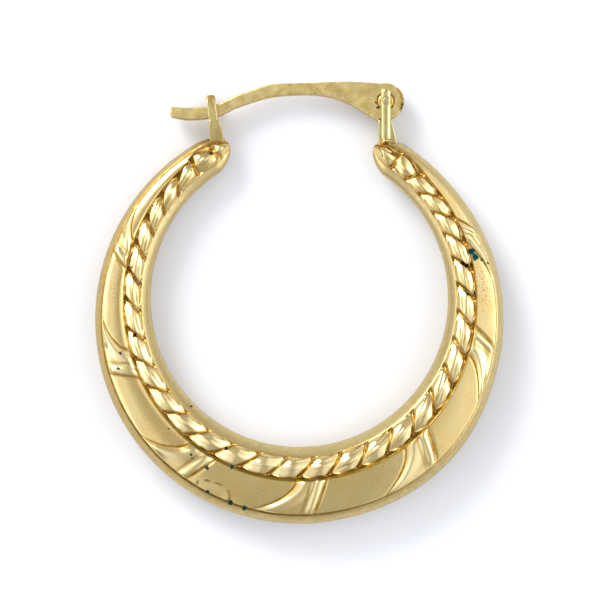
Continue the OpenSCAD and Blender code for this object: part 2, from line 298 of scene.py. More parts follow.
def goldMaterial(name, look):
    mat = bpy.data.materials.new(name)
    mat.use_nodes = True
    tree = mat.node_tree
    shader = tree.nodes["Principled BSDF"]
    coords = tree.nodes.new("ShaderNodeTexCoord")
    ramp, blend = partial(rangeNode, tree), partial(colourNode, tree)
    product = partial(mathNode, tree, "MULTIPLY")

    def noiseOver(place, scale, detail=2.0):
        node = tree.nodes.new("ShaderNodeTexNoise")
        feed(node.inputs["Scale"], scale)
        feed(node.inputs["Detail"], detail)
        feed(node.inputs["Vector"], place)
        return node.outputs["Fac"]

    def grain(size, detail=2.0, stretch=(1, 1, 1), turn=0):
        place = tree.nodes.new("ShaderNodeMapping")
        feed(place.inputs["Scale"], [k / mm for k in stretch])
        feed(place.inputs["Rotation"], (0, 0, math.radians(turn)))
        feed(place.inputs["Vector"], coords.outputs["Object"])
        return noiseOver(place.outputs["Vector"], 1 / size, detail)

    def patches(detail, size, low, high, toLow=0.0, toHigh=1.0):
        return ramp(grain(size, detail), low, high, toLow, toHigh)

    def followingGrain(length, width):
        # grain drawn out along the hoop
        place = tree.nodes.new("ShaderNodeCombineXYZ")
        feed(place.inputs["X"], painted("along"))
        feed(place.inputs["Y"], painted("across"))
        stretch = tree.nodes.new("ShaderNodeVectorMath")
        stretch.operation = "DIVIDE"
        feed(stretch.inputs[0], place.outputs["Vector"])
        feed(stretch.inputs[1], (length, width, 1.0))
        return noiseOver(stretch.outputs["Vector"], 1.0)

    def painted(attribute):
        node = tree.nodes.new("ShaderNodeAttribute")
        node.attribute_name = attribute
        return node.outputs["Fac"]

    def dent(height, distance, under=None):
        node = tree.nodes.new("ShaderNodeBump")
        feed(node.inputs["Distance"], distance * mm)
        feed(node.inputs["Height"], height)
        if under is not None:
            feed(node.inputs["Normal"], under)
        return node.outputs["Normal"]

    tone = blend(patches(2.0, *look["tonePatches"]), look["colour"], look["warmColour"])
    specks = patches(1.0, *look["speckPatches"], 0.0, look["specks"])
    specks = product(specks, patches(1.0, *look["speckAreas"]))
    tone = blend(specks, tone, look["speckColour"])
    # painted highlight: paler colour on the rope's crests and the ribs' tops
    tone = blend(ramp(painted("crest"), 0.0, 1.0, 0.0, look["crestHighlightShare"]), tone, look["crestHighlightColour"])
    freckles = product(painted("freckle"), patches(1.0, *look["frecklePatches"]))
    tone = blend(freckles, tone, look["freckleColour"])
    # painted shade, with some tarnish: darker and duller in grooves, creases and other recesses
    shadeAndTarnish = product(ramp(painted("recess"), *look["grooveRange"]), patches(2.0, *look["groovePatches"]))
    worn = product(painted("worn"), patches(3.0, *look["wornPatches"]))
    tone = blend(shadeAndTarnish, blend(worn, tone, look["wornColour"]), look["grooveColour"])
    # painted deep shade
    tone = blend(ramp(painted("deep"), *look["deepRange"]), tone, look["deepColour"])
    stain = ramp(painted("stain"), *look["blotRange"])
    pit = ramp(painted("pit"), *look["blotRange"])
    tone = blend(pit, blend(stain, tone, look["stainColour"]), look["pitColour"])
    feed(shader.inputs["Base Color"], tone)
    feed(shader.inputs["Metallic"], 1.0)
    rough = patches(4.0, *look["roughnessPatches"], *look["roughness"])
    rough = ramp(worn, 0.0, 1.0, rough, look["wornRoughness"])
    rough = ramp(shadeAndTarnish, *look["grooveRoughnessRange"], rough, look["grooveRoughness"])
    feed(shader.inputs["Roughness"], rough)
    normal = dent(grain(look["waveSize"], 1.0), look["waveHeight"])
    normal = dent(grain(look["mottleSize"], 2.0), look["mottleHeight"], normal)
    normal = dent(followingGrain(*look["brushSize"]), look["brushHeight"], normal)
    normal = dent(grain(look["grainSize"]), look["grainHeight"], normal)
    scratches = grain(look["scratchSize"], 3.0, (1, look["scratchThin"], 1), look["scratchTurn"])
    normal = dent(scratches, look["scratchHeight"], normal)
    feed(shader.inputs["Normal"], normal)
    return mat


polishedGold = goldMaterial("polishedGold", polishedLook)
satinGold = goldMaterial("satinGold", satinLook)
postGold = goldMaterial("postGold", postLook)
catchGold = goldMaterial("catchGold", catchLook)
pinGold = goldMaterial("pinGold", pinLook)


def nearEnds(a, hingeFrom, catchFrom, reach):
    # 0 along the hoop, and 1 at both ends
    return np.maximum(smooth((a - hingeFrom) / reach), smooth((catchFrom - a) / reach))


def bandWidth(s, a):
    c = s["innerShift"]
    width = -c * sinD(a) + np.sqrt(s["outerR"] ** 2 - (c * cosD(a)) ** 2) - s["innerR"]
    return width + sum(mark(a, *swell) for swell in s["edgeSwells"])


def onBand(s, angle, share):
    # a point this share of the way out over the band
    radius = s["innerR"] + share * bandWidth(s, angle)
    return radius * cosD(angle), s["innerShift"] + radius * sinD(angle)


def breadth(s, a):
    # 0 where the band is narrow and 1 at the bottom
    low, high = bandWidth(s, s["hingeEnd"]), bandWidth(s, -90.0)
    return clamp01((bandWidth(s, a) - low) / (high - low)) ** 2


def grooveAngle(s, n):
    turn = 360 * n / s["strands"]
    even = s["ropeStart"] + s["strandStep"] * n
    return even - s["spacingSwing"] * sinD(turn) - s["spacingRipple"] * sinD(2 * turn)


def zoneEdges(s, a):
    inner = mix(*s["innerBorder"], breadth(s, a))
    outer = mix(*s["outerBorder"], breadth(s, a))
    width = bandWidth(s, a)
    limit = width - outer - s["leastPanel"]
    rope = np.minimum(inner + mix(*s["ropeWidth"], breadth(s, a)), limit)
    rope = mix(rope, limit, nearEnds(a, *s["ropeOnly"]))
    return inner, rope, width - outer, width


# a group of ribs: a crescent, a bar and the grooves beside them, in degrees from the group's
# start; the places of bar and groove are at the rope and at the outer border
ribShape = {
    "groups": 7,
    "start": -199.0,
    "step": 36.0,
    "lean": 8.0,
    "height": 0.13,
    "crescentAt": 0.5,
    "crescentBow": (12, 1.8),  # how far the crescent sweeps back, and how late it turns
    "crescentRise": 2.8,
    "crescentFall": (0.7, 5),  # share of its height that it loses again, and over what reach
    "barAt": (7.4, 3.6),
    "barHalf": 2.3,
    "barShare": 0.95,          # of the full height
    "barGap": (1, 2),          # where the crescent ends before the bar, and how softly
    "grooveDepth": 0.06,
    "crescentGroove": (-0.4, 0.8, 0.8),    # place before the crescent, half width, share of the depth
    "barGroove": (9.8, 4.8),
    "fadeOut": (0.05, 0.9, 1.8),   # low ends at the rope and at the outer border
}


def ribRise(r, a, v):
    # height of the ribs over the panel; v runs over the panel from 0 at the rope to 1
    rise = np.zeros_like(v)
    bow, late = r["crescentBow"]
    loss, lossReach = r["crescentFall"]
    gap, gapReach = r["barGap"]
    for k in range(r["groups"]):
        d = a - r["start"] - k * r["step"]
        crescent = d - r["crescentAt"] + bow * v ** late
        bar = d - mix(*r["barAt"], v)
        ridge = smooth(crescent / r["crescentRise"])
        ridge = ridge * (1 - loss * smooth((crescent - r["crescentRise"]) / lossReach))
        ridge = ridge * (1 - smooth((bar + gap) / gapReach))
        rise = rise + r["height"] * np.maximum(ridge, r["barShare"] * bump(bar / r["barHalf"]))
        grooves = mark(crescent, *r["crescentGroove"]) + bump(d - mix(*r["barGroove"], v))
        rise = rise - r["grooveDepth"] * grooves
    start, span, steep = r["fadeOut"]
    return rise * clamp01(steep * sinD(180 * clamp01(start + span * v)))


def fromGroove(n):
    # signed distance to the nearest groove, in strands
    return np.mod(n + 0.5, 1) - 0.5


def foldLine(s, a, n, x):
    # fine folds; n counts strands along the rope and x runs across it from 0 to 1
    f, which = np.mod(n, 1), np.floor(n)
    turn = s["foldTurn"][0] + s["foldTurn"][1] * mark(a, *s["foldTurnAt"])
    shift, byStrand, byFold = s["foldWander"]
    mean, swing, strengthTurn, strengthStart, strengthByFold = s["foldStrength"]
    line = np.zeros(np.broadcast(f, x).shape)
    for k, at in enumerate(s["foldAt"]):
        middle = at + shift * np.sin(byStrand * which + byFold * k) - turn * (f - 0.5)
        strength = mean + swing * np.sin(strengthTurn * which + strengthStart + strengthByFold * k)
        line = np.maximum(line, strength * bump((x - middle) / s["foldHalf"]))
    return line * np.sqrt(mark(f, 0.5, s["foldReach"])) * (1 - mark(a, *s["foldFaint"]))


def strandDrop(s, a, n, x):
    # a strand is a long grain: it falls from its turned crest line to two far corners, and from
    # the middle of the rope to the rope's edges
    g, half, turn = fromGroove(n), s["strandStepHalf"], s["crestTurn"] * (x - 0.5)
    far = 0.5 + s["crestTurn"] / 2
    before, after = [np.abs((g + k - turn) / far) ** s["sidePower"] for k in (0.5, -0.5)]
    body = s["sideDepth"] * mix(before, after, smooth((g + half) / (2 * half)))
    body = body + s["roundDepth"] * np.abs(2 * x - 1) ** s["roundPower"]
    body = body + s["grooveCut"] * bump(g / s["grooveHalf"])
    body = body + s["foldCut"] * foldLine(s, a, n, x)
    low, high = s["edgeEase"]
    body = mix(s["innerDrop"], body, smooth(x / low))
    return mix(body, s["creaseDrop"], smooth((x - high) / (1 - high)))


def intoStrands(s, q, inner):
    # the strands begin a little before the end of the inner border
    return smooth((q / inner - s["strandsFrom"]) / (1 - s["strandsFrom"]))


def relief(s, a, n, q, zones):
    # drop under the face's highest lines
    inner, rope, outer, width = zones
    x = clamp01((q - inner) / (rope - inner))
    v = clamp01((q - rope) / (outer - rope))
    strand = mix(s["innerDrop"], strandDrop(s, a, n, x), intoStrands(s, q, inner))
    changeFrom, changeReach = s["catchSide"]
    towardsCatch = smooth((changeFrom - cosD(a)) / changeReach)
    lip = s["lipDrop"] * np.maximum(1 - v / mix(*s["lipShare"], towardsCatch), 0) ** 2
    even, power = mix(*s["evenShare"], towardsCatch), mix(*s["rollPower"], towardsCatch)
    full = s["outerDrop"] * mix(s["endsShare"], 1, np.sqrt(breadth(s, a)))
    outerFall = full * (even * v + (1 - even) * v ** power)
    panel = ribShape["height"] + lip + outerFall - ribRise(ribShape, a, v)
    panel = panel + s["edgeLine"] * bump((q - outer) / s["edgeLineHalf"])
    return np.where(q < rope, strand, panel)


# painted shade and highlights, tarnish, rust spots and wear on the hoop. Strengths run from 0 to 1, a
# stretch is its middle angle, reach and strength, lengths over the band are in mm, and lengths along the
# rope in strands
hoopPaint = {
    "grooveHalf": (0.035, 0.06),   # painted shade, with tarnish, in each groove: half width at the rope's edges, and added midway
    "grooveSoft": 0.06,
    "innerWear": (0.02, 0.04),     # how far the rubbed border reaches past its edge, and how softly
    "outerWear": (0.04, 0.05),
    "hingeEndWear": (34, 0.3),     # the panel's narrow ends: where it turns dull, and how much
    "catchEndWear": (-198, 0.55),
    "endWearReach": 16,
    "borderShade": (0.22, 0.5),  # painted shade on the outer border; the hinge side has less, the catch side more
    "creaseHalf": (0.055, 0.07),   # at the narrow ends, and how much more at the bottom
    "creaseShift": 0.03,
    "creaseSoft": 0.04,
    "creaseShade": (0.75, 1.2),     # painted deep shade in the crease: most, and how fast it grows towards the bottom
    "shadedGrooves": [(9, 26, 0.85), (-184, 14, 0.75)],    # painted deep shade: grooves nearly black there
    "wedgeReach": 0.44,            # painted shade widening in the middle of each groove
    "wedgeHalf": (0.17, 0.11),
    "wedgeSwing": (0.65, 0.35, 2.3),   # mean, swing and its turn from groove to groove
    "wedgeShade": 0.4,
    "foldShade": 0.85,
    "innerEdge": (0.24, 0.2),      # painted shade on a strand's edges: place in the rope's width and softness
    "outerEdge": (0.8, 0.16),
    "strandEdge": (0.26, 0.18),    # the same beside its grooves, in strands
    "edgeDarkening": 0.38,
    "rimLine": (0.01, 0.06, 0.55),     # painted shade line where the rope leaves the border: shift, half width, strength
    "outerLine": (0.02, 0.07, 0.045),  # painted shade line along the outer border: shift, half width, softness
    "outerLineShade": (0.62, 0.42, 0.35, 0.2),   # painted shade: mean, less at the right, more left, more below
    "outerLineDeepShade": (0.75, 0.45),     # painted deep shade below, and at the left
    "freckled": [(4, 15, 1.0), (-190, 26, 0.3)],   # rusty spots on the panel
    "freckleAcross": (0.45, 0.55),     # middle and reach over the panel's width
    "crestHighlight": (0.3, 0.7),       # painted highlight: everywhere on the strands, and added below
    "endRim": (50, -228, 8),       # from these angles at the hinge end and at the catch end, over 8
    "endRimLine": (0.06, 0.8),     # half width and strength
    # painted shade lines before the crescent, behind the bar and between the two: shift, half width,
    # strength
    "ribLines": [(0.1, 1.1, 1.0), (0.0, 0.9, 1.0), (0.0, 0.9, 0.6)],
    "ribMiddle": (4.8, 1.4),       # place of the third line, given as in ribShape
    "ribLineGain": 1.25,
    "ribLineEnds": 0.3,            # 1 fades evenly to both ends, 0 not at all
    "ribShade": (0.45, 0.4),        # painted deep shade below, and at both sides
    "meanR": 9,                    # turns the angle into mm for the grain along the hoop
}


def paintHoop(p, s, a, n, q, zones):
    inner, rope, outer, width = zones
    x = clamp01((q - inner) / (rope - inner))
    v = clamp01((q - rope) / (outer - rope))
    below, toLeft, toRight = clamp01(-sinD(a)), clamp01(-cosD(a)), clamp01(cosD(a))
    onRope, onPanel = q < rope, q > rope
    onStrands = onRope * intoStrands(s, q, inner)
    away = np.abs(fromGroove(n))

    # painted shade, with tarnish, in the grooves between strands
    narrow, swell = p["grooveHalf"]
    grooves = onStrands * smooth((narrow + swell * sinD(180 * x) - away) / p["grooveSoft"])
    # painted shade on the outer border
    strength, less = p["borderShade"]
    grooves = np.maximum(grooves, strength * (1 - less * cosD(a)) * (q > outer))
    # painted shade in the crease between rope and panel, deeper towards the bottom
    narrow, swell = p["creaseHalf"]
    crease = narrow + swell * breadth(s, a) - np.abs(q - rope - p["creaseShift"])
    crease = smooth(crease / p["creaseSoft"])
    recess = np.maximum(grooves, crease)
    most, belowGain = p["creaseShade"]
    deep = most * crease * clamp01(-belowGain * sinD(a))

    (innerPast, innerSoft), (outerPast, outerSoft) = p["innerWear"], p["outerWear"]
    worn = np.maximum(smooth((inner + innerPast - q) / innerSoft),
                      smooth((q - outer + outerPast) / outerSoft))
    (hingeFrom, hingeWear), (catchFrom, catchWear) = p["hingeEndWear"], p["catchEndWear"]
    dull = np.maximum(hingeWear * smooth((a - hingeFrom) / p["endWearReach"]),
                      catchWear * smooth((catchFrom - a) / p["endWearReach"]))
    worn = np.maximum(worn, dull * onPanel)

    # painted shade in the middle of each groove, nearly black in these stretches
    shadedGrooves = np.max([mark(a, *stretch) for stretch in p["shadedGrooves"]], axis=0)
    half, soft = p["wedgeHalf"]
    wedge = onStrands * mark(x, 0.5, p["wedgeReach"]) * smooth((half - away) / soft)
    mean, swing, turn = p["wedgeSwing"]
    wedge = wedge * (mean + swing * np.sin(turn * np.round(n)))
    deep = np.maximum(deep, np.maximum(grooves, wedge) * shadedGrooves)
    recess = np.maximum(recess, wedge * np.maximum(p["wedgeShade"], shadedGrooves))
    # painted shade along the fine folds
    recess = np.maximum(recess, p["foldShade"] * foldLine(s, a, n, x) * onRope)

    # painted shade on the strands' edges and beside their grooves
    (innerFrom, innerSoft), (outerFrom, outerSoft) = p["innerEdge"], p["outerEdge"]
    shade = np.maximum(smooth((innerFrom - x) / innerSoft), smooth((x - outerFrom) / outerSoft))
    edgeFrom, edgeSoft = p["strandEdge"]
    shade = np.maximum(shade, smooth((edgeFrom - away) / edgeSoft))
    recess = np.maximum(recess, p["edgeDarkening"] * shade * onStrands)
    # painted shade lines where the rope leaves the inner border, stronger near the ends
    recess = np.maximum(recess, mark(q - inner, *p["rimLine"]))
    half, strength = p["endRimLine"]
    recess = np.maximum(recess, strength * nearEnds(a, *p["endRim"]) * bump((q - inner) / half))

    # painted shade along the outer border's edge, darker to the left and below
    shift, half, soft = p["outerLine"]
    line = smooth((half - np.abs(q - outer - shift)) / soft)
    mean, lessRight, moreLeft, moreBelow = p["outerLineShade"]
    line = line * clamp01(mean - lessRight * toRight + moreLeft * toLeft + moreBelow * below)
    recess = np.maximum(recess, line)
    sootBelow, sootLeft = p["outerLineDeepShade"]
    deep = np.maximum(deep, line * clamp01(sootBelow * below + sootLeft * toLeft))

    freckle = sum(mark(a, *stretch) for stretch in p["freckled"])
    freckle = freckle * mark(v, *p["freckleAcross"]) * onPanel
    # painted highlight on the strands' crests and the ribs' tops, stronger below
    always, moreBelow = p["crestHighlight"]
    crest = onStrands * (1 - shade) * (always + moreBelow * below)
    crest = np.maximum(crest, onPanel * clamp01(ribRise(ribShape, a, v) / ribShape["height"]))

    # painted shade in the ribs' grooves, deeper below and at the sides
    bow, late = ribShape["crescentBow"]
    sootBelow, sootSides = p["ribShade"]
    for k in range(ribShape["groups"]):
        d = a - ribShape["start"] - k * ribShape["step"]
        places = [d + bow * v ** late, d - mix(*ribShape["barGroove"], v), d - mix(*p["ribMiddle"], v)]
        lines = [mark(place, *line) for place, line in zip(places, p["ribLines"])]
        lines = clamp01(p["ribLineGain"] * np.max(lines, axis=0)) * sinD(180 * v) ** p["ribLineEnds"]
        recess = np.maximum(recess, lines)
        deep = np.maximum(deep, lines * np.maximum(sootBelow * below, sootSides * np.abs(cosD(a))))
    return {"recess": recess, "deep": deep, "worn": worn, "crest": crest, "freckle": freckle,
            "along": np.radians(a) * p["meanR"], "across": q}


def hoopFace(s):
    first = s["perStrand"] // 3    # the rope begins a third of a strand after its first groove
    steps = np.arange(first, s["strands"] * s["perStrand"] + 1) / s["perStrand"]
    caps = np.sin(np.linspace(0, np.pi / 2, s["capLines"] + 1))[1:-1]
    catchCap, hingeCap = grooveAngle(s, steps[0]), grooveAngle(s, steps[-1])
    aMid = np.concatenate([mix(catchCap, s["catchEnd"], caps[::-1]), grooveAngle(s, steps),
                           mix(hingeCap, s["hingeEnd"], caps)])[:, None]
    over = s["capStrands"] * caps
    n = np.concatenate([steps[0] - over[::-1], steps, steps[-1] + over])[:, None]
    cap = np.concatenate([caps[::-1], np.zeros(len(steps)), caps])[:, None]
    inner, rope, outer, width = zones = zoneEdges(s, aMid)
    parts = []
    for i, count in enumerate(s["acrossLines"]):
        u = np.arange(count) / count
        if i in (1, 2):
            u = mix(u, (1 - np.cos(np.pi * u)) / 2, s["crowding"])
        parts.append(mix((0 * inner, inner, rope, outer)[i], zones[i], u[None, :]))
    q = np.concatenate(parts + [width], axis=1)
    fromCaps = np.minimum(aMid - catchCap, hingeCap - aMid)
    fade = smooth(fromCaps / s["leanFade"])
    ropeLean = s["strandLean"] * (0.5 - (q - inner) / (rope - inner))
    panelLean = -s["strandLean"] / 2 - ribShape["lean"] * np.minimum(1, (q - rope) / (outer - rope))
    a = aMid + fade * np.where(q <= inner, s["strandLean"] / 2, np.where(q <= rope, ropeLean, panelLean))
    k = (1 - cap ** s["endPower"]) ** (1 / s["endPower"])
    middle = s["tipShare"] * width
    reach = np.where(q < middle, middle, width - middle)
    off = (q - middle) / reach
    edge = (1 - (np.abs(off * k) ** s["endPower"] + cap ** s["endPower"]) ** (1 / s["endPower"])) * reach
    there = zoneEdges(s, a)
    border = np.where(q < middle, there[0], there[3] - there[2])
    radius = s["innerR"] + (middle + (q - middle) * k) * bandWidth(s, a) / width
    x = radius * cosD(a)
    y = s["innerShift"] + radius * sinD(a)
    top = halfCentre(s) - faceTaper(s) * y
    seam = s["seamShare"] * top
    drop = relief(s, a, n + 0 * q, q, zones)
    z = seam + (top - drop - seam) * clamp01(edge / border) ** s["borderPower"]
    return x, y, z, paintHoop(hoopPaint, s, a, n, q, zones)


# angle, share of the way out over the band and radius of each green stain and each brown pit
hoopStains = {
    "stain": [
        (15.0, 0.60, 0.20), (13.1, 0.645, 0.20), (11.8, 0.74, 0.10), (10.4, 0.84, 0.09),
        (1.3, 0.365, 0.11), (-104.6, 0.89, 0.13), (-108.5, 0.878, 0.12), (-115.2, 0.87, 0.10),
        (-118.5, 0.59, 0.11), (-111.6, 0.44, 0.10), (-158.6, 0.71, 0.11), (-240.0, 0.95, 0.09),
    ],
    "pit": [
        (15.6, 0.585, 0.10), (11.8, 0.36, 0.13), (10.8, 0.42, 0.12), (1.3, 0.35, 0.10),
        (-124.6, 0.56, 0.08), (-123.8, 0.59, 0.08), (-116.0, 0.234, 0.11), (-166.9, 0.32, 0.14),
        (-162.7, 0.62, 0.07), (-238.6, 0.525, 0.10), (-229.7, 0.446, 0.08), (-190.1, 0.39, 0.09),
        (-134.6, 0.50, 0.07), (-134.8, 0.056, 0.07),
    ],
}
blotShape = {"grain": 5, "ragged": 0.09, "spread": 1.5}    # waves to a mm, mm, and reach in radii

# shallow oval dent with a dark, dull rim that comes and goes, and a darker floor
hoopDent = {
    "angle": -114.1,
    "share": 0.845,            # of the way out over the band
    "radii": (1.0, 0.52),
    "turn": -24,
    "depth": 0.02,
    "ragged": (0.22, 1.6),     # in radii, and waves to a mm
    "spread": 1.1,
    "rimHalf": 0.16,
    "patches": (0.6, 2.0, 2.3),    # mean and swing of the rim, and waves to a mm
    "rimDarkening": 0.75,
    "floorDarkening": 0.3,
}


def dentField(points, s, d):
    # how far each point is pressed in, and how much it belongs to the rim
    x, y = (points[:, :2] - onBand(s, d["angle"], d["share"])).T
    turned = (x * cosD(d["turn"]) + y * sinD(d["turn"]), y * cosD(d["turn"]) - x * sinD(d["turn"]))
    long, short = d["radii"]
    ragged, grain = d["ragged"]
    reach = np.hypot(turned[0] / long, turned[1] / short)
    reach = reach + ragged * np.array([noise.noise(Vector(p) * grain) for p in points])
    mean, swing, patchGrain = d["patches"]
    elsewhere = Vector((3, 0, 0))      # keeps the patches apart from the ragged edge
    patchy = np.array([noise.noise(Vector(p) * patchGrain + elsewhere) for p in points])
    return smooth(d["spread"] - reach), bump((reach - 1) / d["rimHalf"]) * smooth(mean + swing * patchy)


def spotField(points, spots):
    # blots with ragged edges
    grain, ragged = blotShape["grain"], blotShape["ragged"]
    warp = np.array([noise.noise_vector(Vector((p[0], p[1], 0)) * grain) for p in points]) * ragged
    field = np.zeros(len(points))
    for x, y, r in spots:
        gap = np.hypot(points[:, 0] + warp[:, 0] - x, points[:, 1] + warp[:, 1] - y) / r
        field = np.maximum(field, clamp01(blotShape["spread"] - gap))
    return field


def makeHoopHalf(name, s, side):
    # side is 1 for the front and -1 for the back; both are drawn upwards from the seam first
    x, y, z, marks = hoopFace(s)
    face = np.stack([x, y, z], -1)
    ring = np.concatenate([face[:, :1] * (1, 1, 0), face, face[:, -1:] * (1, 1, 0)], axis=1)
    stations, count = ring.shape[:2]
    tips = [(*onBand(s, end, s["tipShare"]), 0) for end in (s["catchEnd"], s["hingeEnd"])]
    verts = np.concatenate([ring.reshape(-1, 3), np.array(tips)])
    faces = [f[:1] + f[:0:-1] for f in gridFaces(stations, count)]     # turned the other way
    catchTip, hingeTip, last = stations * count, stations * count + 1, (stations - 1) * count
    for j in range(count - 1):
        faces += [[catchTip, j + 1, j], [hingeTip, last + j, last + j + 1]]
    front = side > 0
    if front:
        fall, rim = dentField(verts, s, hoopDent)
        verts[:, 2] -= hoopDent["depth"] * fall * (verts[:, 2] > s["dentAbove"])
    level = 7 * side       # the two faces differ in their waves
    wave = np.array([noise.noise(Vector((p[0], p[1], level)) * s["pressGrain"]) for p in verts])
    verts[:, 2] += (verts[:, 2] > s["pressAbove"]) * (wave - s["pressShift"]) * s["pressWave"]
    verts[:, 2] *= side
    if front:
        faces = [f[::-1] for f in faces]
    obj = addPiece(name, (verts, faces), "hoop_body", "hoop", polishedGold)
    for kind, values in marks.items():
        values = np.concatenate([values[:, :1], values, values[:, -1:]], axis=1).reshape(-1)
        values = np.append(values, values[[0, -1]])        # the two tips
        if front and kind in ("recess", "deep"):
            values = np.maximum(values, hoopDent["rimDarkening"] * rim + hoopDent["floorDarkening"] * fall)
        addAttribute(obj, kind, values)
    for kind, rows in hoopStains.items():
        spots = []
        for angle, share, r in rows:
            x, y = onBand(s, angle, share)
            spots.append((side * x, y, r))
        addAttribute(obj, kind, spotField(verts, spots))
    return obj


hoopFront = makeHoopHalf("hoopFront", hoopShape, 1)
hoopBack = makeHoopHalf("hoopBack", hoopShape, -1)
print("creole: hoop,", len(hoopFront.data.polygons) + len(hoopBack.data.polygons), "faces")


def inset(loop, d):
    before, after = loop - np.roll(loop, 1, 0), np.roll(loop, -1, 0) - loop
    n1 = np.stack([-before[:, 1], before[:, 0]], 1) / np.linalg.norm(before, axis=1)[:, None]
    n2 = np.stack([-after[:, 1], after[:, 0]], 1) / np.linalg.norm(after, axis=1)[:, None]
    # 0.35 keeps the reach small at a sharp corner
    return loop + d * (n1 + n2) / np.maximum(1 + (n1 * n2).sum(1), 0.35)[:, None]


def refine(outline, step):
    out = []
    for p, q in zip(outline, np.roll(outline, -1, 0)):
        cuts = max(1, math.ceil(np.linalg.norm(q - p) / step))
        out += [mix(p, q, i / cuts) for i in range(cuts)]
    return np.array(out)


def insideLoop(x, y, loop):
    # even and odd crossings of the outline
    odd = np.zeros(len(x), bool)
    for (ax, ay), (bx, by) in zip(loop, np.roll(loop, -1, 0)):
        if ay != by:
            odd ^= ((ay > y) != (by > y)) & (x < ax + (y - ay) * (bx - ax) / (by - ay))
    return odd


def plate(outline, z0, z1, soft, holes=(), step=0.12, holeSides=40, edgeRows=4):
    # closed plate with rounded edges; a hole is its centre, and rings of radius and depth down to
    # the middle
    loop = refine(np.array(outline, float), step)
    x, y = loop.T
    if np.sum(x * np.roll(y, -1) - y * np.roll(x, -1)) < 0:
        loop = loop[::-1]
    flatFrom, spare = soft * 1.25, step / 3        # inner points keep clear of outlines by spare
    bends = np.linspace(0, np.pi / 2, edgeRows)
    rows = [(soft * (1 - math.cos(t)), soft * (1 - math.sin(t))) for t in bends] + [(flatFrom, 0.0)]
    verts, faces, n = [], [], len(loop)

    def band(lower, upper, count, flip):
        for i in range(count):
            j = (i + 1) % count
            quad = [lower + i, lower + j, upper + j, upper + i]
            faces.append(quad[::-1] if flip else quad)

    starts = []
    for z, side in ((z1, 1), (z0, -1)):
        starts.append(len(verts))
        for d, fall in rows:
            verts += [(*p, z - side * fall) for p in inset(loop, d)]
        for r in range(len(rows) - 1):
            band(starts[-1] + r * n, starts[-1] + (r + 1) * n, n, side < 0)
        rim = starts[-1] + (len(rows) - 1) * n
        index = list(range(rim, rim + n))
        loops = [list(range(n))]
        for hx, hy, rings in holes:
            for level, (r, depth) in enumerate(rings):
                start = len(verts)
                verts += [(*point, z - side * depth) for point in circle(hx, hy, r, holeSides)]
                if level:
                    band(start - holeSides, start, holeSides, side < 0)
                else:
                    loops.append([len(index) + i for i in range(holeSides)])
                    index += range(start, start + holeSides)
        if holes:
            lines = [np.arange(low, high, step) for low, high in zip(loop.min(0), loop.max(0))]
            gx, gy = [g.reshape(-1) for g in np.meshgrid(*lines)]
            keep = insideLoop(gx, gy, inset(loop, flatFrom + spare))
            for hx, hy, rings in holes:
                keep &= np.hypot(gx - hx, gy - hy) > rings[0][0] + spare
            index += range(len(verts), len(verts) + int(keep.sum()))
            verts += [(px, py, z) for px, py in zip(gx[keep], gy[keep])]
            flat = [Vector(verts[k][:2]) for k in index]
            edges = [(l[i - 1], l[i]) for l in loops for i in range(len(l))]
            found = geometry.delaunay_2d_cdt(flat, edges, [], 1, 1e-7)
            corners = []
            for point, source in zip(found[0], found[3]):
                corners.append(index[source[0]] if source else len(verts))
                if not source:
                    verts.append((*point, z))
            for tri in found[2]:
                middle = sum((found[0][k] for k in tri), Vector((0, 0))) / len(tri)
                gaps = [(middle - Vector((hx, hy))).length / rings[0][0] for hx, hy, rings in holes]
                if min(gaps) > 0.98:       # nothing across a hole
                    faces.append([corners[k] for k in (tri if side > 0 else tri[::-1])])
        else:
            faces.append(index if side > 0 else index[::-1])
    band(starts[1], starts[0], n, False)
    return verts, faces


def join(*shapes):
    verts, faces = [], []
    for v, f in shapes:
        faces += [[k + len(verts) for k in face] for face in f]
        verts += list(v)
    return verts, faces


wireShape = {
    "thick": 0.7,
    "soft": 0.07,
    "hinge": (4.67, 11.77),
    "eyeR": 0.98,
    "eyeSides": 60,
    "rowCuts": 8,              # between two rows
    "mergeGap": 0.002,
    # pressed ring and bore: radius and depth under the face
    "hole": [(0.54, 0.0), (0.50, 0.0), (0.47, 0.07), (0.43, 0.07),
             (0.39, 0.02), (0.22, 0.02), (0.2, 0.04), (0.2, 0.35)],
    # distance across, height of the middle, width
    "rows": [
        (-6.97, 11.22, 0.40), (-6.80, 11.18, 0.58), (-5.90, 11.09, 0.65), (-4.50, 11.26, 0.66),
        (-3.30, 11.78, 0.66), (-1.70, 12.30, 0.69), (-0.50, 12.42, 0.64), (0.75, 12.44, 0.65),
        (1.85, 12.38, 0.87), (2.90, 12.17, 1.30), (3.98, 11.81, 1.90), (4.34, 11.69, 2.08),
    ],
    # place and radius of each blot
    "stain": [(4.30, 10.69, 0.07), (4.27, 12.02, 0.08), (5.60, 11.56, 0.08)],
    "pit": [(4.16, 11.66, 0.07), (4.28, 11.42, 0.09), (5.54, 11.40, 0.07)],
    "blotDepth": (0.12, 0.06),     # they end this far below the front face, and this softly
    "rimDarkening": (56, -40, 0.83),     # painted shade on the eye's edge: from and to in degrees, and from which radius
    "rimSoft": (0.04, 12),     # mm and degrees
    "ringShade": (0.45, 0.09),   # radius and half width of the painted shade in the ring on the eye
    "faceFrom": 0.2,           # both are on the two faces, from this height over the wire's middle
    "edgeDarkening": (0.5, 0.004, 0.02),     # of the wire's narrow side: strength, inset and softness
}


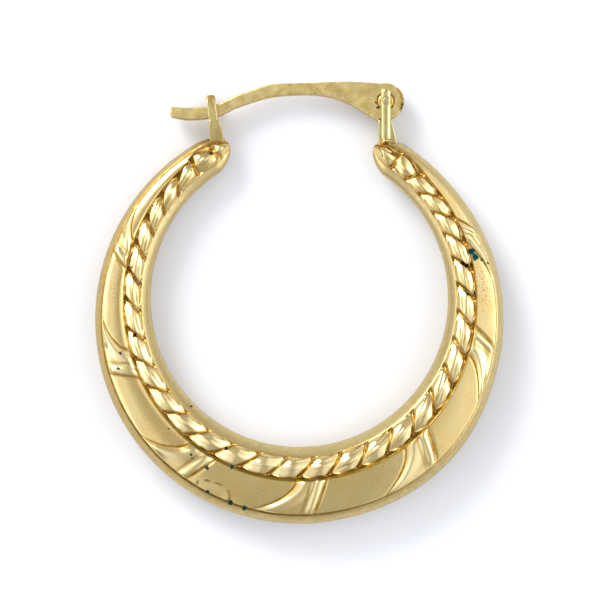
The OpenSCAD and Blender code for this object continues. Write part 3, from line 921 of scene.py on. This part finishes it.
def spline(rows, cuts):
    rows = np.array(rows, float)
    out = []
    for i in range(len(rows) - 1):
        p0, p1, p2, p3 = rows[max(i - 1, 0)], rows[i], rows[i + 1], rows[min(i + 2, len(rows) - 1)]
        for u in np.arange(cuts) / cuts:
            out.append(0.5 * (2 * p1 + (p2 - p0) * u + (2 * p0 - 5 * p1 + 4 * p2 - p3) * u ** 2
                              + (3 * p1 - p0 - 3 * p2 + p3) * u ** 3))
    return np.array(out + [rows[-1]])


def wireOutline(s):
    line = spline(s["rows"], s["rowCuts"])
    upper = np.stack([line[:, 0], line[:, 1] + line[:, 2] / 2], 1)
    lower = np.stack([line[:, 0], line[:, 1] - line[:, 2] / 2], 1)
    centre = np.array(s["hinge"])
    upper = upper[np.linalg.norm(upper - centre, axis=1) > s["eyeR"] * 1.01]   # up to the eye
    out = upper[-1] - centre
    corner = lower[-1][0] + 0.03 - centre[0]       # the eye's edge ends just past the last row
    turns = np.linspace(math.atan2(out[1], out[0]), -math.acos(corner / s["eyeR"]), s["eyeSides"])[1:]
    arc = centre + s["eyeR"] * np.stack([np.cos(turns), np.sin(turns)], 1)
    return np.concatenate([upper, arc, lower[::-1]])


def makeWire(s):
    half = s["thick"] / 2
    shape = plate(wireOutline(s), -half, half, s["soft"], [(*s["hinge"], s["hole"])])
    obj = addPiece("earWire", shape, "ear_wire_body", "ear_wire", satinGold)
    edit = bmesh.new()
    edit.from_mesh(obj.data)
    bmesh.ops.remove_doubles(edit, verts=edit.verts, dist=s["mergeGap"] * mm)
    edit.to_mesh(obj.data)
    edit.free()
    upright = toRest.inverted()
    points = np.array([upright @ v.co for v in obj.data.vertices]) / mm
    depth, soft = s["blotDepth"]
    frontOnly = smooth((points[:, 2] - half + depth) / soft)
    for kind in ("stain", "pit"):
        addAttribute(obj, kind, spotField(points, s[kind]) * frontOnly)
    # painted shade on the eye's right edge and in its ring
    away = points[:, :2] - np.array(s["hinge"])
    reach, turn = np.hypot(*away.T), np.degrees(np.arctan2(away[:, 1], away[:, 0]))
    start, end, rimR = s["rimDarkening"]
    soft, softTurn = s["rimSoft"]
    rim = smooth((reach - rimR) / soft) * smooth((start - turn) / softTurn)
    rim = rim * smooth((turn - end) / softTurn)
    ring = mark(reach, *s["ringShade"])
    height = np.abs(points[:, 2])
    strength, depth, soft = s["edgeDarkening"]
    edge = strength * smooth((half - depth - height) / soft)
    addAttribute(obj, "recess", np.maximum(np.maximum(rim, ring) * (height > s["faceFrom"]), edge))


makeWire(wireShape)
print("creole: ear wire")


catchShape = {
    "foot": [(-4.82, 9.2), (-4.06, 9.2), (-4.11, 9.95), (-4.3, 10.74), (-4.87, 10.74)],
    "prong": [(-4.87, 10.69), (-4.38, 10.69), (-4.56, 12.04), (-4.66, 12.1),
              (-4.98, 12.08), (-5.03, 12.0)],
    "slotHalf": 0.38,
    "earHalf": 0.68,
    "soft": 0.06,
    "tipDrop": 0.16,           # the tips are pinched thinner
    "tipFrom": 11.78,
    "tipReach": 0.12,
    "pinchFrom": 0.55,         # only the prongs' outer faces give way, from this height
    "footShare": 0.6,          # thickness at the hoop, as a share of that at the slot
    "footTo": (9.5, 1.2),      # where it begins to thicken, and over what reach
    "tipShade": (0.7, 0.1),      # painted shade on the prongs' tips: strength and reach
    "slotShade": (0.35, 0.03),   # painted shade everywhere but on the prongs' outer faces, down to this depth
}


def makeCatch(s):
    verts, faces = join(plate(s["foot"], -s["earHalf"], s["earHalf"], s["soft"]),
                        plate(s["prong"], s["slotHalf"], s["earHalf"], s["soft"]),
                        plate(s["prong"], -s["earHalf"], -s["slotHalf"], s["soft"]))
    thickens, thickenReach = s["footTo"]
    pinched = []
    for x, y, z in verts:
        z *= mix(s["footShare"], 1.0, float(smooth((y - thickens) / thickenReach)))
        pinch = 0
        if abs(z) > s["pinchFrom"]:
            pinch = s["tipDrop"] * float(smooth((y - s["tipFrom"]) / s["tipReach"]))
        pinched.append((x, y, z - math.copysign(pinch, z)))
    obj = addPiece("catchPost", (pinched, faces), "hoop_body", "hoop", catchGold)
    # painted shade on the prongs' tips and everywhere but their outer faces
    height, depth = np.array(pinched)[:, 1], np.abs(np.array(pinched)[:, 2])
    (tipDark, tipReach), (slotDark, clear) = s["tipShade"], s["slotShade"]
    tip = smooth((height - s["tipFrom"]) / tipReach)
    addAttribute(obj, "recess", np.maximum(tipDark * tip, slotDark * (depth < s["earHalf"] - clear)))


hingeShape = {
    "x": 4.67,
    "y": 11.77,
    "foot": [(4.27, 9.2), (5.32, 9.2), (5.22, 9.8), (5.0, 10.73), (4.27, 10.73)],
    "rear": [(4.27, 10.68), (5.0, 10.68), (4.98, 11.77), (4.36, 11.77)],
    "rearR": 0.31,             # rounded top of the rear ear
    "rearSides": 40,
    "frontW": 0.57,
    "frontFoot": 9.72,
    "frontTop": 12.5,
    "slotHalf": 0.38,
    "earHalf": 0.68,
    "soft": 0.05,
    "pinR": 0.18,
    "pinSeat": 0.05,           # hollow pressed round the pin's head
    "seatReach": 1.6,          # its reach, in pin radii
    "overlap": 0.02,           # of the front ear into the foot
    "frontRound": (0.5, 0.6),  # powers across the bar and over its top, lower is squarer
    "frontLines": (24, 90, 29),    # mesh lines over the top, down the bar and across it
}

# radius and height of the rivet's outline, from the middle of its head down to its other end
pinShape = {
    "outline": [(0.001, 0.665), (0.06, 0.664), (0.12, 0.658), (0.16, 0.648),
                (0.18, 0.63), (0.18, -0.63), (0.16, -0.66), (0.001, -0.67)],
    "sides": 40,
}


def frontEar(s):
    # bar with a round front and a domed top
    half, base = s["frontW"] / 2, s["slotHalf"] - s["overlap"]
    topLines, barLines, acrossLines = s["frontLines"]
    acrossRound, topRound = s["frontRound"]
    top = np.linspace(0, 1, topLines) ** 2 * half
    down = np.concatenate([top, np.linspace(half, s["frontTop"] - s["frontFoot"], barLines)[1:]])
    verts = []
    for d in down:
        swell = math.sqrt(max(0.0, 1 - max(0.0, 1 - d / half) ** 2))
        for t in np.linspace(0, np.pi, acrossLines):
            x, y = -math.cos(t) * swell * half, s["frontTop"] - d
            z = base + (s["earHalf"] - base) * max(0.0, math.sin(t)) ** acrossRound * swell ** topRound
            fromPin = math.hypot(x, y - s["y"]) / s["pinR"]
            z -= s["pinSeat"] * float(smooth(s["seatReach"] - fromPin))
            verts.append((s["x"] + x, y, max(z, base)))
    starts = [i * acrossLines for i in range(len(down))]
    edge = starts + [i + acrossLines - 1 for i in reversed(starts)]
    return verts, gridFaces(len(down), acrossLines) + [edge[::-1]]


def makeHinge(s):
    disc = circle(s["x"], s["y"], s["rearR"], s["rearSides"])
    shape = join(plate(s["foot"], -s["earHalf"], s["slotHalf"], s["soft"]),
                 plate(s["rear"], -s["earHalf"], -s["slotHalf"], s["soft"]),
                 plate(disc, -s["earHalf"], -s["slotHalf"], s["soft"]),
                 frontEar(s))
    addPiece("hingePost", shape, "hoop_body", "hoop", postGold)


def makePin(s, hinge):
    verts = []
    for r, z in s["outline"]:
        verts += [(x, y, z) for x, y in circle(hinge["x"], hinge["y"], r, s["sides"])]
    shape = verts, gridFaces(len(s["outline"]), s["sides"], True)
    addPiece("hingePin", shape, "hoop_body", "hinge_pin", pinGold)


solderShape = {
    # middle and the three radii of each bead
    "beads": [(4.64, 9.62, 0.2, 0.36, 0.17, 0.60), (-4.40, 9.72, 0.0, 0.42, 0.12, 0.45)],
    "uneven": 0.08,            # of their width, as a share
    "rows": 17,
    "cols": 32,
    "poleGap": 0.01,           # radians left open at both poles
}


def makeSolder(s):
    shapes = []
    for cx, cy, cz, rx, ry, rz in s["beads"]:
        verts = []
        for p in np.linspace(s["poleGap"], math.pi - s["poleGap"], s["rows"]):
            for t in np.linspace(0, 2 * math.pi, s["cols"], endpoint=False):
                wobble = 1 + s["uneven"] * noise.noise(Vector((cx + math.cos(t), p, math.sin(t))))
                x = cx + rx * wobble * math.sin(p) * math.cos(t)
                y = cy + ry * math.sin(p) * math.sin(t)
                verts.append((x, y, cz + rz * math.cos(p)))
        shapes.append((verts, gridFaces(s["rows"], s["cols"], True)))
    addPiece("solder", join(*shapes), "hoop_body", "hoop", postGold)


makeCatch(catchShape)
makeHinge(hingeShape)
makePin(pinShape, hingeShape)
makeSolder(solderShape)
for node, material in (("hoop", polishedGold), ("ear_wire", satinGold), ("hinge_pin", pinGold)):
    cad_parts[node].data.materials.clear()
    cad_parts[node].data.materials.append(material)
print("creole: posts, pin and solder")


tableLook = {
    "size": 3.0,               # metres
    "sink": 0.01,              # mm under the hoop
    "colour": (0.78, 0.78, 0.775),
    "roughness": 0.9,
}


def makeTable(look):
    half = look["size"] / 2
    corners = [(-half, -half, 0), (half, -half, 0), (half, half, 0), (-half, half, 0)]
    mesh = bpy.data.meshes.new("table")
    mesh.from_pydata(corners, [], [(0, 1, 2, 3)])
    obj = bpy.data.objects.new("table", mesh)
    obj.location.z = -look["sink"] * mm
    scene.collection.objects.link(obj)
    mat = bpy.data.materials.new("paleTable")
    mat.use_nodes = True
    plugs = mat.node_tree.nodes["Principled BSDF"].inputs
    feed(plugs["Base Color"], (*look["colour"], 1))
    feed(plugs["Roughness"], look["roughness"])
    feed(plugs["Specular IOR Level"], 0.0)
    mesh.materials.append(mat)


cameraPlace = {
    "viewWidth": 32.41,        # mm across the picture, at planeHeight over the table
    "planeHeight": 1.2,
    "aim": (0.04, 0.13),
    "lens": 200.0,
    "sensor": 36.0,
    "clip": (0.01, 10.0),      # metres
}


def makeCamera(place):
    data = bpy.data.cameras.new("camera")
    data.lens, data.sensor_width = place["lens"], place["sensor"]
    data.clip_start, data.clip_end = place["clip"]
    cam = bpy.data.objects.new("camera", data)
    scene.collection.objects.link(cam)
    distance = place["viewWidth"] * place["lens"] / place["sensor"]
    cam.location = Vector((*place["aim"], distance + place["planeHeight"])) * mm
    scene.camera = cam


studio = {
    "overhead": 0.66,          # radiance of the ceiling straight above
    # radiance of each wall, and where it begins and is full, as sines of the angle from straight up
    "leftWall": (1.20, 0.18, 0.44),
    "rightWall": (1.28, 0.17, 0.42),
    "wallFoot": (2.3, 0.62, 0.84),     # both are brighter lower down: how much, from where, to where
    "horizon": (0.42, 0.55),   # of the room low down, at the left and at the right
    "horizonRange": (-0.6, 0.6),
    "ceilingRange": (0.05, 0.45),  # how far up the low room gives way to walls and ceiling
    "frontShare": 0.88,        # darkening towards the viewer's side
    "frontRange": (-0.7, 0.0),
    "backShare": 0.92,         # and towards the far side
    "backRange": (0.25, 0.8),
    "ceilingColour": (1.0, 1.0, 1.0),
    "wallColour": (0.97, 1.0, 1.12),
    "lamps": [                 # name, direction, distance, size, radiance
        ("keyLamp", (-0.55, 0.65, 0.5), 0.4, 0.2, 10.0),
        ("fillLamp", (0.75, 0.10, 0.62), 0.4, 0.2, 1.0),
    ],
}


def makeStudio(s):
    for name, way, far, size, radiance in s["lamps"]:
        data = bpy.data.lights.new(name, "AREA")
        data.shape = "SQUARE"
        data.size = size
        data.energy = math.pi * size * size * radiance
        lamp = bpy.data.objects.new(name, data)
        scene.collection.objects.link(lamp)
        lamp.location = Vector(way).normalized() * far
        lamp.rotation_euler = Vector(way).to_track_quat("Z", "Y").to_euler()
    world = bpy.data.worlds.new("studio")
    world.use_nodes = True
    scene.world = world
    tree = world.node_tree
    coords = tree.nodes.new("ShaderNodeTexCoord")
    axes = tree.nodes.new("ShaderNodeSeparateXYZ")
    feed(axes.inputs["Vector"], coords.outputs["Generated"])
    product = partial(mathNode, tree, "MULTIPLY")

    def ramp(axis, low, high, toLow, toHigh):
        return rangeNode(tree, axes.outputs[axis], low, high, toLow, toHigh, "SMOOTHSTEP")

    leftLevel, leftFrom, leftTo = s["leftWall"]
    rightLevel, rightFrom, rightTo = s["rightWall"]
    left = ramp("X", -leftTo, -leftFrom, leftLevel / s["overhead"], 1.0)
    right = ramp("X", rightFrom, rightTo, s["overhead"], rightLevel)
    front = ramp("Y", *s["frontRange"], s["frontShare"], 1.0)
    back = ramp("Y", *s["backRange"], 1.0, s["backShare"])
    rise = ramp("Z", *s["ceilingRange"], 0.0, 1.0)
    foot, footFrom, footTo = s["wallFoot"]
    feet = product(ramp("X", -footTo, -footFrom, foot, 1.0), ramp("X", footFrom, footTo, 1.0, foot))
    level = product(product(left, right), product(product(front, back), rise))
    level = product(level, feet)
    low = product(ramp("X", *s["horizonRange"], *s["horizon"]), ramp("Z", *s["ceilingRange"], 1.0, 0.0))
    walls = mathNode(tree, "MAXIMUM", ramp("X", -leftTo, -leftFrom, 1.0, 0.0),
                     ramp("X", rightFrom, rightTo, 0.0, 1.0))
    background = tree.nodes["Background"]
    feed(background.inputs["Strength"], mathNode(tree, "ADD", level, low))
    feed(background.inputs["Color"], colourNode(tree, walls, s["ceilingColour"], s["wallColour"]))


makeTable(tableLook)
makeCamera(cameraPlace)
makeStudio(studio)
scene.view_settings.view_transform = "Standard"
print("creole: studio ready")
